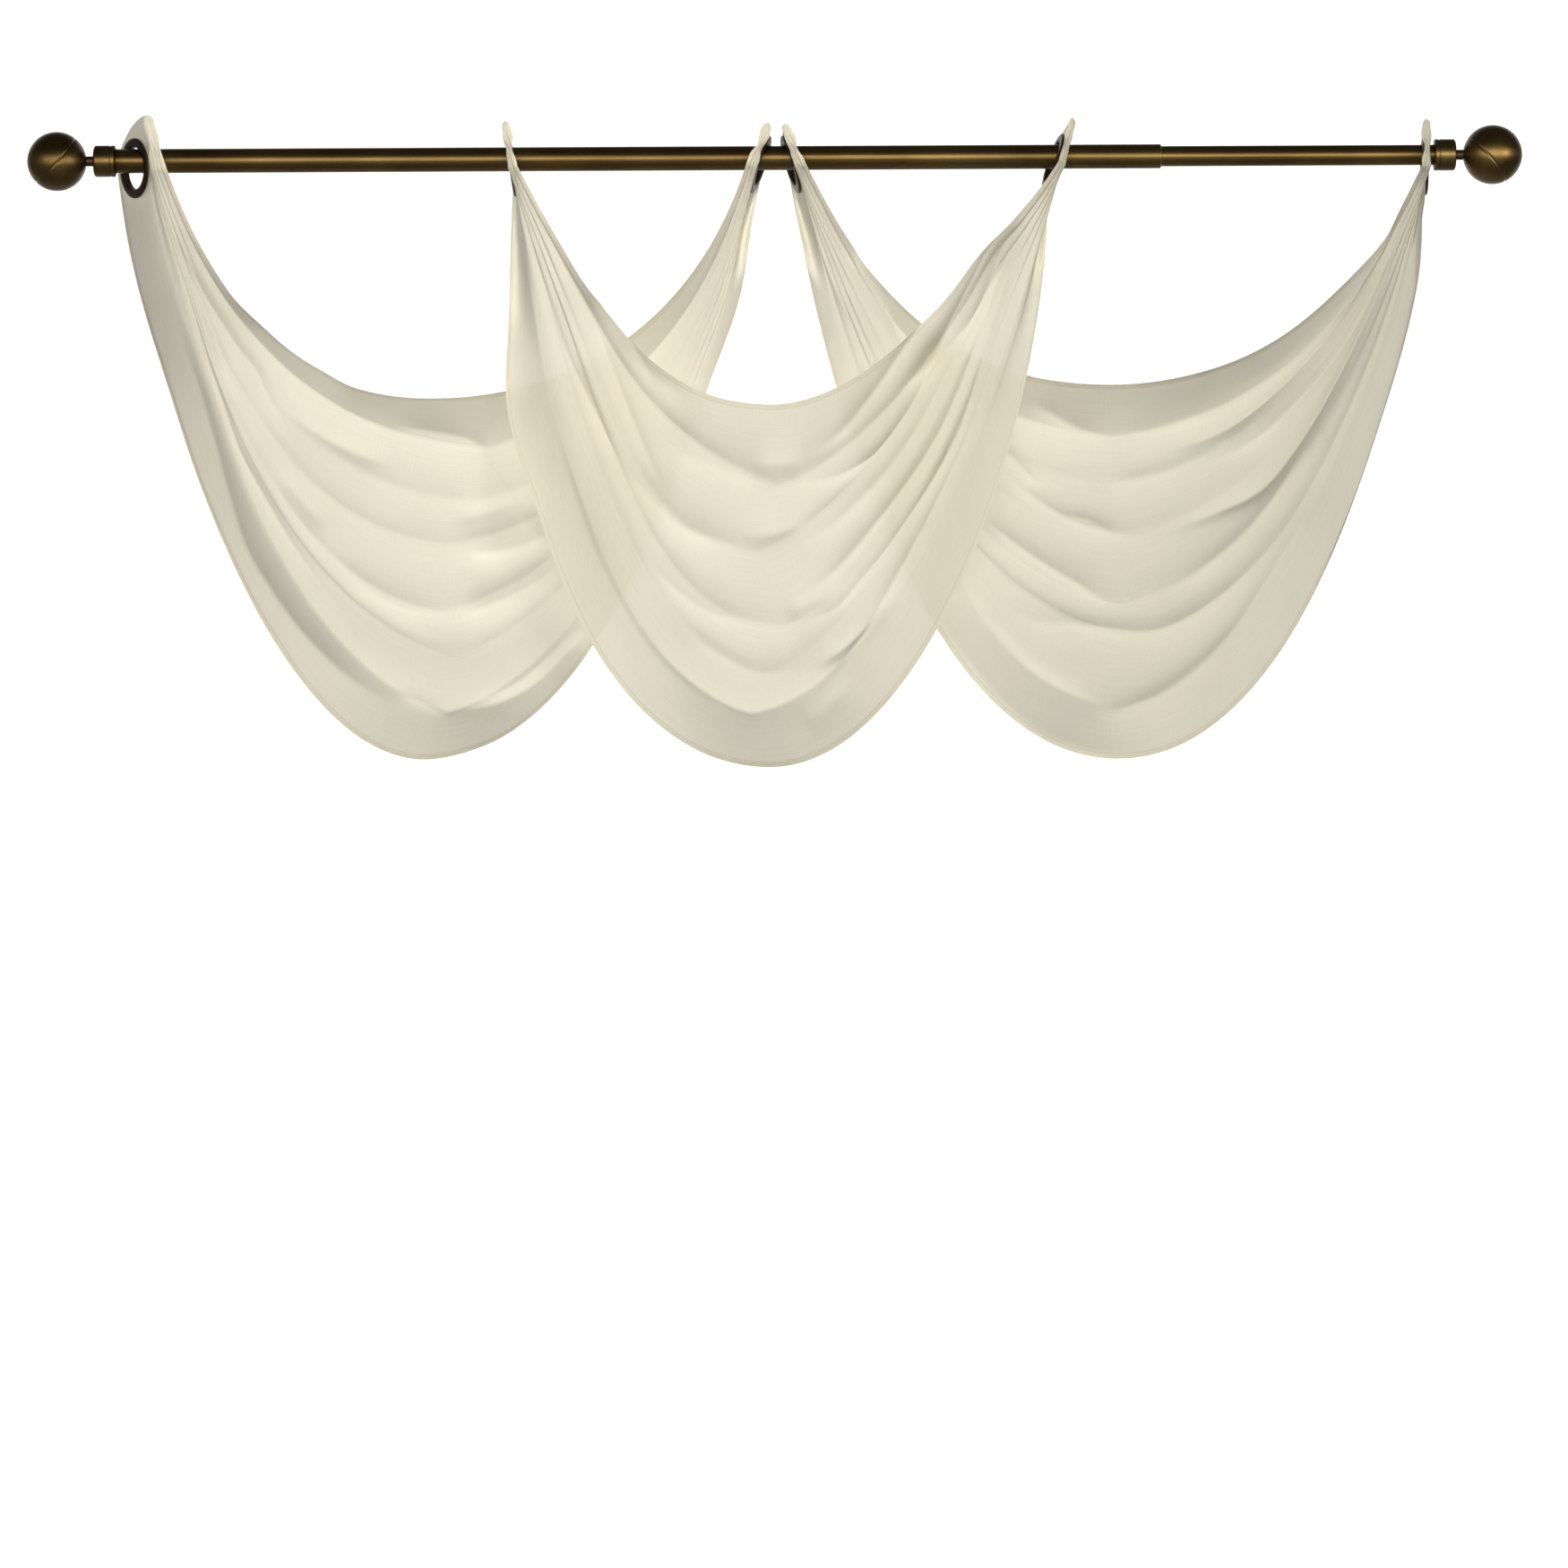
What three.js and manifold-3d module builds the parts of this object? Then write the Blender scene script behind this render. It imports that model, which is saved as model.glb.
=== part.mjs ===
// Three sheer swags hung by eyelets from one telescoping curtain rod with ball finials.
// Millimetres. X runs along the rod to the right, Y points away from the viewer, Z is up,
// and the rod's axis passes through the origin at the middle of its length.
import * as THREE from "three";
import { mergeVertices } from "three/addons/utils/BufferGeometryUtils.js";
import Module from "manifold-3d";

const wasm = await Module();
wasm.setup();

// Clear gap between two pieces that touch, and under an eyelet where it hangs on the rod.
const GAP = 0.3;
const HANG_GAP = 0.45;

// Rod: a wide tube from the left, and a thinner one that slides inside it to the right.
const WIDE_TUBE = { radius: 12.5, wall: 1.0, from: -696, to: 398.5, lip: 0.8 };
const THIN_TUBE = { radius: 10.5, wall: 0.8, from: 270, to: 696, lip: 0.2 };
const ROD_SIDES = 24;

// Finials: a collar capping each tube end, a short neck and a ball.
const BALL = { radius: 30.5, centre: 741, rings: 12 };
const NECK = { radius: 5.2, length: 8 };
const COLLAR = { radius: 16.2, length: 21.5, bevel: 1.6, bore: 15.2, grooveAt: 4.5, groove: 0.5 };

// Eyelets: a face ring with a barrel through the cloth, and a back ring round the barrel.
const EYELET = { bore: 21.5, barrel: 23, rim: 31, thickness: 2.6, edge: 1.2, sides: 18 };

// Cloth: its thickness, and the rows and columns that it is made of.
// A fold stands out by no more than this share of its width, and lies flat where it is narrow.
const SHEET = 1.2;
const ROWS_PER_PANEL = 4;
const STEPS_ACROSS = 24;
const STAND_OUT = 0.15;
const FLAT_BELOW = 7;

// Tab round an eyelet, measured from the eyelet's centre: to the back, and up.
// The folds gather into a roll in front of the eyelet, and the hem panel lies flat round it.
const TAB = { front: -58, rollEnd: -34, back: 40, clearRadius: 35, below: 6 };
const TAB_TOP = { front: -34, rollEnd: -26, peak: -28, backDrop: 38 };
const ROLL = { out: 5, inward: 3 };
const TAB_HEIGHTS = [1, 0.5, 0.12];

// One row for each tab. x: the eyelet's place on the rod. yaw: the front edge turned to the middle.
// tilt: the top leaning outward. top: the tip above the eyelet's centre.
// lean: the way the top hem leaves the tab, from plumb, inward.
// fall, sweep: how far it keeps to that line, and how far it runs level, as shares of its height and width.
// hemLean, hemFall, hemSweep: the same for the bottom hem. hemDepth: the depth that it makes for.
const TAB_ROW = [
  "x", "yaw", "tilt", "top", "lean", "fall", "sweep", "hemLean", "hemFall", "hemSweep", "hemDepth",
];

// One row for each valley between two folds, from the top hem's to the lowest one.
// drop: its lowest point below the rod. shift: that point right of the swag's middle.
// veeLeft, veeRight: how sharply it climbs from that point, as a share of its height.
// bulge: how far the fold above it stands out. droop: how far that fold sags over it.
const FOLD_ROW = ["drop", "shift", "veeLeft", "veeRight", "bulge", "droop"];

const SWAGS = [
  {
    name: "swag_left",
    middle: -337,
    topHem: { drop: 245, shift: -20, depth: 24 },
    bottomHem: { drop: 620, shift: -24, depth: 50, bulge: 6 },
    tabs: [
      [-659.5, 34, 3, 52, 18, 0.6, 0.55, 6, 0.36, 0.55, 45],
      [-16, 6, 19, 41, 18, 0.58, 0.54, 11, 0.36, 0.54, -10],
    ],
    folds: [
      [295, 36, 0.05, 0.14, -9, 0],
      [350, 22, 0.04, 0.1, 11, 5],
      [395, -6, 0.05, 0.07, 12, 6],
      [465, -12, 0.07, 0.1, 16, 9],
      [512, 0, 0.1, 0.12, 13, 6],
      [571, -3, 0.08, 0.1, 19, 11],
    ],
  },
  {
    name: "swag_centre",
    middle: -5.5,
    topHem: { drop: 258, shift: 2, depth: -58 },
    bottomHem: { drop: 629, shift: -2, depth: -32, bulge: 6 },
    tabs: [
      [-271, 2, 9, 44, 27, 0.56, 0.53, -3, 0.66, 0.58, -45],
      [289, -8, 18, 45, 32, 0.34, 0.38, -1, 0.38, 0.59, -60],
    ],
    folds: [
      [340, 6, 0.22, 0.1, 15, 7],
      [407, -13, 0.06, 0.12, 17, 12],
      [483, 16, 0.04, 0.12, 17, 12],
      [531, -10, 0.12, 0.08, 12, 6],
      [574, -22, 0.08, 0.05, 17, 12],
    ],
  },
  {
    name: "swag_right",
    middle: 353,
    topHem: { drop: 234, shift: -6, depth: 24 },
    bottomHem: { drop: 622, shift: 1, depth: 50, bulge: 6 },
    tabs: [
      [18, 7, 17, 40, 27, 0.56, 0.57, 8, 0.38, 0.58, 10],
      [671, 4, 1, 44, 23, 0.55, 0.57, 6, 0.36, 0.63, 10],
    ],
    folds: [
      [286, -3, 0.05, 0.08, -8, 0],
      [332, -8, 0.04, 0.08, 10, 5],
      [388, 19, 0.03, 0.14, 14, 10],
      [460, 3, 0.1, 0.12, 15, 8],
      [496, 28, 0.06, 0.12, 10, 5],
      [569, 2, 0.12, 0.12, 18, 10],
    ],
  },
];

const BRONZE = new THREE.MeshStandardMaterial({ color: 0x5a3f1f, metalness: 1, roughness: 0.35 });
const DARK_BRONZE = new THREE.MeshStandardMaterial({ color: 0x2a1c14, metalness: 1, roughness: 0.4 });
const VOILE = new THREE.MeshStandardMaterial({ color: 0xe6dfca, roughness: 0.9 });

const root = new THREE.Group();

function add(name, geometry, material) {
  const mesh = new THREE.Mesh(geometry, material);
  mesh.name = name;
  root.add(mesh);
}

// A closed body turned about the X axis from its outline of [along, radius] pairs.
function turned(outline, sides) {
  const points = outline.map(([along, radius]) => new THREE.Vector2(radius, along));
  const geometry = new THREE.LatheGeometry([...points, points[0]], sides);
  return geometry.rotateZ(-Math.PI / 2);
}

function smooth(from, to, value) {
  return THREE.MathUtils.smoothstep(value, from, to);
}

const lerp = THREE.MathUtils.lerp;
const radians = THREE.MathUtils.degToRad;

// Rod and finials

function tube({ radius, wall, from, to, lip }) {
  const outline = [
    [from, radius - wall],
    [to, radius - wall],
    [to, radius - lip],
    [to - lip, radius],
    [from, radius],
  ];
  return turned(outline.reverse(), ROD_SIDES);
}

function collar(tubeRadius) {
  const { radius, length, bevel, bore, grooveAt, groove } = COLLAR;
  const wallBehind = length - bore;
  const outline = [
    [0, 0],
    [0, radius - bevel],
    [bevel, radius],
    [length - grooveAt - groove, radius],
    [length - grooveAt, radius - groove],
    [length - grooveAt + groove, radius],
    [length, radius],
    [length, tubeRadius + GAP],
    [wallBehind, tubeRadius + GAP],
    [wallBehind, 0],
  ];
  return turned(outline, ROD_SIDES);
}

function ball() {
  const flat = Math.asin(NECK.radius / BALL.radius);
  const outline = [[BALL.radius * Math.cos(flat), 0]];
  for (let i = 0; i <= BALL.rings; i += 1) {
    const angle = lerp(flat, Math.PI, i / BALL.rings);
    outline.push([BALL.radius * Math.cos(angle), BALL.radius * Math.sin(angle)]);
  }
  outline[outline.length - 1][1] = 0;
  return turned(outline.reverse(), ROD_SIDES);
}

function finial(name, side, tubeRadius) {
  const seat = BALL.centre - Math.sqrt(BALL.radius ** 2 - NECK.radius ** 2) - GAP;
  const collarFace = seat - NECK.length - GAP;
  const stem = [[0, 0], [0, NECK.radius], [NECK.length, NECK.radius], [NECK.length, 0]];
  const facing = side < 0 ? 0 : Math.PI;
  const place = (geometry, at) => geometry.rotateZ(facing).translate(side * at, 0, 0);
  add(`${name}_collar`, place(collar(tubeRadius), collarFace), BRONZE);
  add(`${name}_neck`, place(turned(stem, ROD_SIDES), seat), DARK_BRONZE);
  add(`${name}_ball`, place(ball(), BALL.centre), BRONZE);
}

add("rod_wide_tube", tube(WIDE_TUBE), BRONZE);
add("rod_thin_tube", tube(THIN_TUBE), BRONZE);
finial("left", -1, WIDE_TUBE.radius);
finial("right", 1, THIN_TUBE.radius);

// The flat tab round an eyelet: its centre, and its directions to the back, up and outward.
function tabFrame(tab, side) {
  const yaw = radians(tab.yaw);
  const tilt = radians(tab.tilt);
  const rodRadius = tab.x > WIDE_TUBE.to ? THIN_TUBE.radius : WIDE_TUBE.radius;
  const halfBarrel = SHEET / 2 + GAP + EYELET.thickness;
  const inside = EYELET.bore * Math.cos(Math.PI / EYELET.sides);
  const slant = Math.abs(Math.sin(tilt)) + 1 - Math.cos(yaw);
  const reach = inside * Math.cos(tilt) - halfBarrel * slant;
  const level = new THREE.Vector3(side * Math.cos(yaw), -Math.sin(yaw), 0);
  const plumb = new THREE.Vector3(0, 0, 1);
  const up = plumb.clone().multiplyScalar(Math.cos(tilt)).addScaledVector(level, Math.sin(tilt));
  const out = level.clone().multiplyScalar(Math.cos(tilt)).addScaledVector(plumb, -Math.sin(tilt));
  return {
    centre: new THREE.Vector3(tab.x, 0, rodRadius + HANG_GAP - reach),
    back: new THREE.Vector3(side * Math.sin(yaw), Math.cos(yaw), 0),
    up,
    out,
  };
}

// Eyelets

function eyeletRings() {
  const { bore, barrel, rim, thickness, edge, sides } = EYELET;
  const near = SHEET / 2 + GAP;
  const far = near + thickness;
  const face = [
    [-near - thickness, bore + 0.5],
    [-near - thickness, barrel],
    [near, barrel],
    [near, rim - edge / 2],
    [near + edge, rim],
    [far, rim - 2 * edge],
    [far, bore + edge],
    [near + edge, bore],
  ];
  const back = [
    [-far, barrel + GAP],
    [-far, rim - 2 * edge],
    [-near - edge, rim],
    [-near, rim - edge / 2],
    [-near, barrel + GAP],
  ];
  return { face: turned(face, sides), back: turned(back, sides) };
}

// Turns a body made about the X axis to face out of the tab at the eyelet's centre.
function onTab(geometry, frame) {
  const across = new THREE.Vector3().crossVectors(frame.up, frame.out);
  const place = new THREE.Matrix4().makeBasis(frame.out, across, frame.up);
  return geometry.applyMatrix4(place.setPosition(frame.centre));
}

function addEyelet(name, frame) {
  const rings = eyeletRings();
  add(`${name}_face`, onTab(rings.face, frame), DARK_BRONZE);
  add(`${name}_back`, onTab(rings.back, frame), DARK_BRONZE);
}

// Swags

function named(columns, row) {
  return Object.fromEntries(columns.map((column, i) => [column, row[i]]));
}

// Lines along the cloth from tab to tab, from the top hem to the bottom hem.
// gather: place in the tab's roll, 1 at its end. flat: place across the hem panel.
function clothLines(swag) {
  const valleys = swag.folds.map((row) => named(FOLD_ROW, row));
  const topHem = { veeLeft: 0, veeRight: 0, ...swag.topHem };
  const bottomHem = { veeLeft: 0, veeRight: 0, droop: 0, ...swag.bottomHem };
  const edges = [topHem, ...valleys, bottomHem];
  const lines = [];
  for (let panel = 1; panel < edges.length; panel += 1) {
    const above = edges[panel - 1];
    const below = edges[panel];
    for (let row = panel === 1 ? 0 : 1; row <= ROWS_PER_PANEL; row += 1) {
      const share = row / ROWS_PER_PANEL;
      const swell = Math.sin(Math.PI * share ** 1.25);
      const between = (key) => lerp(above[key], below[key], share);
      const isHem = below === bottomHem;
      lines.push({
        across: (panel - 1 + share) / (valleys.length + 1),
        gather: isHem ? 1 : (panel - 1 + share) / valleys.length,
        flat: isHem ? share : 0,
        drop: between("drop"),
        shift: between("shift"),
        veeLeft: between("veeLeft"),
        veeRight: between("veeRight"),
        bulge: below.bulge,
        out: below.bulge * swell,
        sag: below.droop * swell,
      });
    }
  }
  return lines;
}

// Where a line crosses the tab, from height 0 at the tab's foot to 1 at its top edge.
function tabPoint(tab, frame, line, height) {
  const across = (edge) => lerp(lerp(edge.front, edge.rollEnd, line.gather), TAB.back, line.flat);
  const footAcross = across(TAB);
  const topAcross = across(TAB_TOP);
  const foot = -TAB.below - Math.sqrt(Math.max(0, TAB.clearRadius ** 2 - footAcross ** 2));
  const fromPeak = (topAcross - TAB_TOP.peak) / (TAB.back - TAB_TOP.peak);
  const top = tab.top - TAB_TOP.backDrop * fromPeak ** 2;
  const roll = ROLL.out * Math.sin(Math.PI * line.gather) - ROLL.inward * (1 - line.gather);
  return frame.centre
    .clone()
    .addScaledVector(frame.back, lerp(footAcross, topAcross, height))
    .addScaledVector(frame.out, roll * (1 - height))
    .addScaledVector(frame.up, lerp(foot, top, height));
}

// Half a line: from the tab's foot down to the swag's middle.
function halfLine(swag, line, tab, frame, side) {
  const foot = tabPoint(tab, frame, line, 0);
  const hemShare = line.across ** 2.5;
  const lean = radians(lerp(tab.lean, tab.hemLean, hemShare));
  const low = new THREE.Vector3(
    swag.middle + line.shift,
    lerp(swag.topHem.depth, swag.bottomHem.depth, line.across),
    -line.drop,
  );
  const height = foot.z - low.z;
  const width = Math.abs(foot.x - low.x);
  const fall = lerp(tab.fall, tab.hemFall, hemShare) * height;
  const sweep = lerp(tab.sweep, tab.hemSweep, hemShare) * width;
  const vee = side < 0 ? line.veeLeft : line.veeRight;
  return new THREE.CubicBezierCurve3(
    foot,
    new THREE.Vector3(
      foot.x - side * fall * Math.sin(lean),
      lerp(lerp(foot.y, low.y, 0.7), tab.hemDepth, line.flat),
      foot.z - fall * Math.cos(lean),
    ),
    new THREE.Vector3(low.x + side * sweep, low.y, low.z + vee * height),
    low,
  );
}

// The cloth's middle surface as columns of points, left tab to right tab.
function clothColumns(swag, tabs, frames) {
  const lines = clothLines(swag);
  const halves = [-1, 1].map((side, i) =>
    lines.map((line) => halfLine(swag, line, tabs[i], frames[i], side)),
  );
  const tabColumns = (i, heights) =>
    heights.map((height) => lines.map((line) => tabPoint(tabs[i], frames[i], line, height)));
  const columns = tabColumns(0, TAB_HEIGHTS);
  for (let step = 0; step <= STEPS_ACROSS; step += 1) {
    const along = -1 + (2 * step) / STEPS_ACROSS;
    const i = along < 0 ? 0 : 1;
    const side = i ? 1 : -1;
    const down = 1 - Math.abs(along);
    const turn = (Math.PI / 2 - radians(tabs[i].yaw)) * (1 - smooth(0, 0.75, down));
    const swell = smooth(0.1, 0.9, down);
    const out = new THREE.Vector3(side * Math.sin(turn), -Math.cos(turn), 0);
    const base = halves[i].map((half) => half.getPoint(down));
    const bulged = (line, k) => {
      const above = base[Math.max(0, Math.ceil(k / ROWS_PER_PANEL) - 1) * ROWS_PER_PANEL];
      const below = base[Math.ceil(k / ROWS_PER_PANEL) * ROWS_PER_PANEL];
      const room = Math.max(0, above.distanceTo(below) - FLAT_BELOW);
      const most = (STAND_OUT * room) / Math.abs(line.bulge);
      const give = Math.min(swell, most);
      const point = base[k].clone().addScaledVector(out, line.out * give);
      point.z -= line.sag * give;
      return point;
    };
    columns.push(lines.map(bulged));
  }
  return columns.concat(tabColumns(1, [...TAB_HEIGHTS].reverse()));
}

// A closed sheet of even thickness about a grid of points.
function sheetAbout(columns) {
  const wide = columns.length;
  const long = columns[0].length;
  const at = (i, k) => columns[Math.min(Math.max(i, 0), wide - 1)][Math.min(Math.max(k, 0), long - 1)];
  const positions = [];
  for (const half of [SHEET / 2, -SHEET / 2]) {
    for (let i = 0; i < wide; i += 1) {
      for (let k = 0; k < long; k += 1) {
        const across = at(i + 1, k).clone().sub(at(i - 1, k));
        const down = at(i, k + 1).clone().sub(at(i, k - 1));
        const normal = down.cross(across).normalize();
        positions.push(...at(i, k).clone().addScaledVector(normal, half).toArray());
      }
    }
  }
  const index = [];
  const quad = (a, b, c, d) => index.push(a, b, c, c, b, d);
  const front = (i, k) => i * long + k;
  const back = (i, k) => wide * long + i * long + k;
  for (let i = 0; i < wide - 1; i += 1) {
    for (let k = 0; k < long - 1; k += 1) {
      quad(front(i, k), front(i, k + 1), front(i + 1, k), front(i + 1, k + 1));
      quad(back(i, k), back(i + 1, k), back(i, k + 1), back(i + 1, k + 1));
    }
    quad(front(i, 0), front(i + 1, 0), back(i, 0), back(i + 1, 0));
    quad(front(i, long - 1), back(i, long - 1), front(i + 1, long - 1), back(i + 1, long - 1));
  }
  for (let k = 0; k < long - 1; k += 1) {
    quad(front(0, k), back(0, k), front(0, k + 1), back(0, k + 1));
    quad(front(wide - 1, k), front(wide - 1, k + 1), back(wide - 1, k), back(wide - 1, k + 1));
  }
  const geometry = new THREE.BufferGeometry();
  geometry.setAttribute("position", new THREE.Float32BufferAttribute(positions, 3));
  return geometry.setIndex(index);
}

function solid(geometry) {
  const bare = geometry.clone();
  bare.deleteAttribute("normal");
  bare.deleteAttribute("uv");
  const merged = mergeVertices(bare, 1e-3);
  return new wasm.Manifold(
    new wasm.Mesh({
      numProp: 3,
      vertProperties: merged.attributes.position.array,
      triVerts: new Uint32Array(merged.index.array),
    }),
  );
}

function geometryOf(body) {
  const mesh = body.getMesh();
  const geometry = new THREE.BufferGeometry();
  geometry.setAttribute("position", new THREE.Float32BufferAttribute(mesh.vertProperties, 3));
  geometry.setIndex(new THREE.BufferAttribute(mesh.triVerts, 1));
  return geometry;
}

// The round hole that an eyelet's barrel passes through.
function eyeletHole(frame) {
  const radius = EYELET.barrel + GAP;
  const depth = 4 * SHEET;
  const outline = [[-depth, 0], [-depth, radius], [depth, radius], [depth, 0]];
  return onTab(turned(outline, EYELET.sides), frame);
}

for (const swag of SWAGS) {
  const tabs = swag.tabs.map((row) => named(TAB_ROW, row));
  const frames = [tabFrame(tabs[0], -1), tabFrame(tabs[1], 1)];
  let cloth = solid(sheetAbout(clothColumns(swag, tabs, frames)));
  for (const frame of frames) {
    cloth = cloth.subtract(solid(eyeletHole(frame)));
  }
  add(swag.name, geometryOf(cloth), VOILE);
  addEyelet(`${swag.name}_eyelet_left`, frames[0]);
  addEyelet(`${swag.name}_eyelet_right`, frames[1]);
}

export default root;
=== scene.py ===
import math

import bpy
import numpy as np
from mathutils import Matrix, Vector


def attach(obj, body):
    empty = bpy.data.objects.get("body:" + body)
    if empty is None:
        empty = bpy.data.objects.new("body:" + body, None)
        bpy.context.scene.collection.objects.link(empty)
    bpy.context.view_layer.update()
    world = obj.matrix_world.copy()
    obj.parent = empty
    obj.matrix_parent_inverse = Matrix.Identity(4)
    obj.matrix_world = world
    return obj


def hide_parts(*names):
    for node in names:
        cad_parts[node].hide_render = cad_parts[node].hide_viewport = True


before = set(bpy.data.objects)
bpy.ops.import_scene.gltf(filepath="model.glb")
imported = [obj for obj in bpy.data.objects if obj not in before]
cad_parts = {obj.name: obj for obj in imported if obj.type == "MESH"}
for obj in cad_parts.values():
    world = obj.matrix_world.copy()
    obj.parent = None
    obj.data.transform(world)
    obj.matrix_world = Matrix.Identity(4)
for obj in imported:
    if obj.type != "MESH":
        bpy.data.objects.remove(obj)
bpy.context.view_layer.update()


# Swags: three panels of sheer ecru voile, each hemmed along its top and bottom edges.
# Each is gathered into a tab at both ends, so that it hangs in curved folds from tab to tab.
# Sizes are in millimetres: X along the rod, Y away from the viewer, Z up from the rod's axis.

MM = 0.001
WIDE_TUBE_RADIUS = 12.5
WIDE_TUBE_END = 398.5
THIN_TUBE_RADIUS = 10.5
CLOTH_SOLID = 1.2
PIECE_GAP = 0.3
HANG_GAP = 0.45
EYELET_BORE = 21.5
EYELET_BARREL = 23.0
EYELET_RIM = 31.0
EYELET_THICKNESS = 2.6
EYELET_SOLID_SIDES = 18

ROWS_PER_PANEL = 22
STEPS_PER_SIDE = 112
TAB_STEPS = 24
HEM_WIDTH = 4.5
HEM_ROWS = 4
HEM_TURN = 0.6
HEM_EDGE_TURN = 0.15
HEM_SHARE_OF_PANEL = 0.9
PLEAT_AT_TAB = 1.6
CRUMPLE = {"size": 1.2, "up": 9, "across": 8}
STEEPEST_FOLD = 0.07
UNEVEN_FOLDS = {"amount": 0.16, "along": 2.7, "panel": 1.9}
CREASE_POINTS = 28
CREASE_FADE = 0.3
HOLE_MARGIN = 1.2
HOLE_REACH = 6

TAB = {"front": -58, "roll_end": -34, "back": 40, "clear_radius": 35, "below": 6}
TAB_TOP = {"front": -34, "roll_end": -26, "peak": -28, "back_drop": 38}
TAB_WAIST = {"narrowing": 0.45, "height": 0.42, "reach": 0.16}
TAB_BLUNTNESS = 14
ROLL_OUT = 6
ROLL_INWARD = 4

# How closely the lines near the bottom keep to that hem's run, and their depth on leaving a tab.
HEM_PULL = 2.5
LEAVING_DEPTH = 0.7

# Rows or steps that the cloth is averaged over, for a belly's roundness and for its run.
BELLY_BLUR = 6
RUN_BLUR = {"rows": 7, "steps": 5}

# Softness of the valleys in the arms, and the averaging that starts at each softness.
ARM_SOFTNESS = 8.0
SOFTNESS_SPAN = 4
SOFTENING = ((1, 0), (3, 4))

# Where each thing starts and where it is whole, as shares of the way from a tab to the middle.
ON_THE_WAY = {
    "hem_forward": (0.02, 0.14),
    "hem_back": (0.5, 0.9),
    "swings": (0, 0.1),
    "round_bellies": (0.55, 0.8),
    "middle": (0.4, 0.85),
    "pleats": (0, 0.06),
    "pleats_end": (0.1, 0.4),
    "folds": (0, 0.25),
    "sag": (0.3, 0.7),
    "creases": (0.04, 0.3),
}

# One row for each tab: the eyelet's place on the rod, the front edge turned to the middle and
# the top leaning outward in degrees, the tip above the eyelet, and the way the top hem and
# the bottom hem leave it: degrees from plumb, then shares of the height and the width, and
# the depth that the bottom hem makes for, and how nearly it comes level with the last valley.
TAB_ROW = (
    "x", "yaw", "tilt", "top", "lean", "fall", "sweep",
    "hem_lean", "hem_fall", "hem_sweep", "hem_depth", "hem_level",
)

# One row for each valley between two folds, from the top down: its lowest point below the rod
# and right of the swag's middle, how sharply it climbs to each side, how far it lies back,
# how far the fold above it stands out in the left arm, the middle and the right arm, how far
# that fold sags over it, how low the fold is fullest, and how softly the valley is bent.
FOLD_ROW = (
    "drop", "shift", "vee_left", "vee_right", "back",
    "left", "mid", "right", "droop", "low", "soft",
)

# One row for each crease: its height (a trough is below 0), its width above and below its line,
# how softly it is bent, and the points (x, z) that it passes on the front of the cloth.
CREASE_ROW = ("height", "above", "below", "soft", "line")

# One row for each place where the top hem (0) or the bottom hem (1) swings out past its sweep:
# the hem, the place (x, z), how far round it the cloth follows, and the move right and up.
SWING_ROW = ("hem", "x", "z", "reach", "right", "up")

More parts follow.
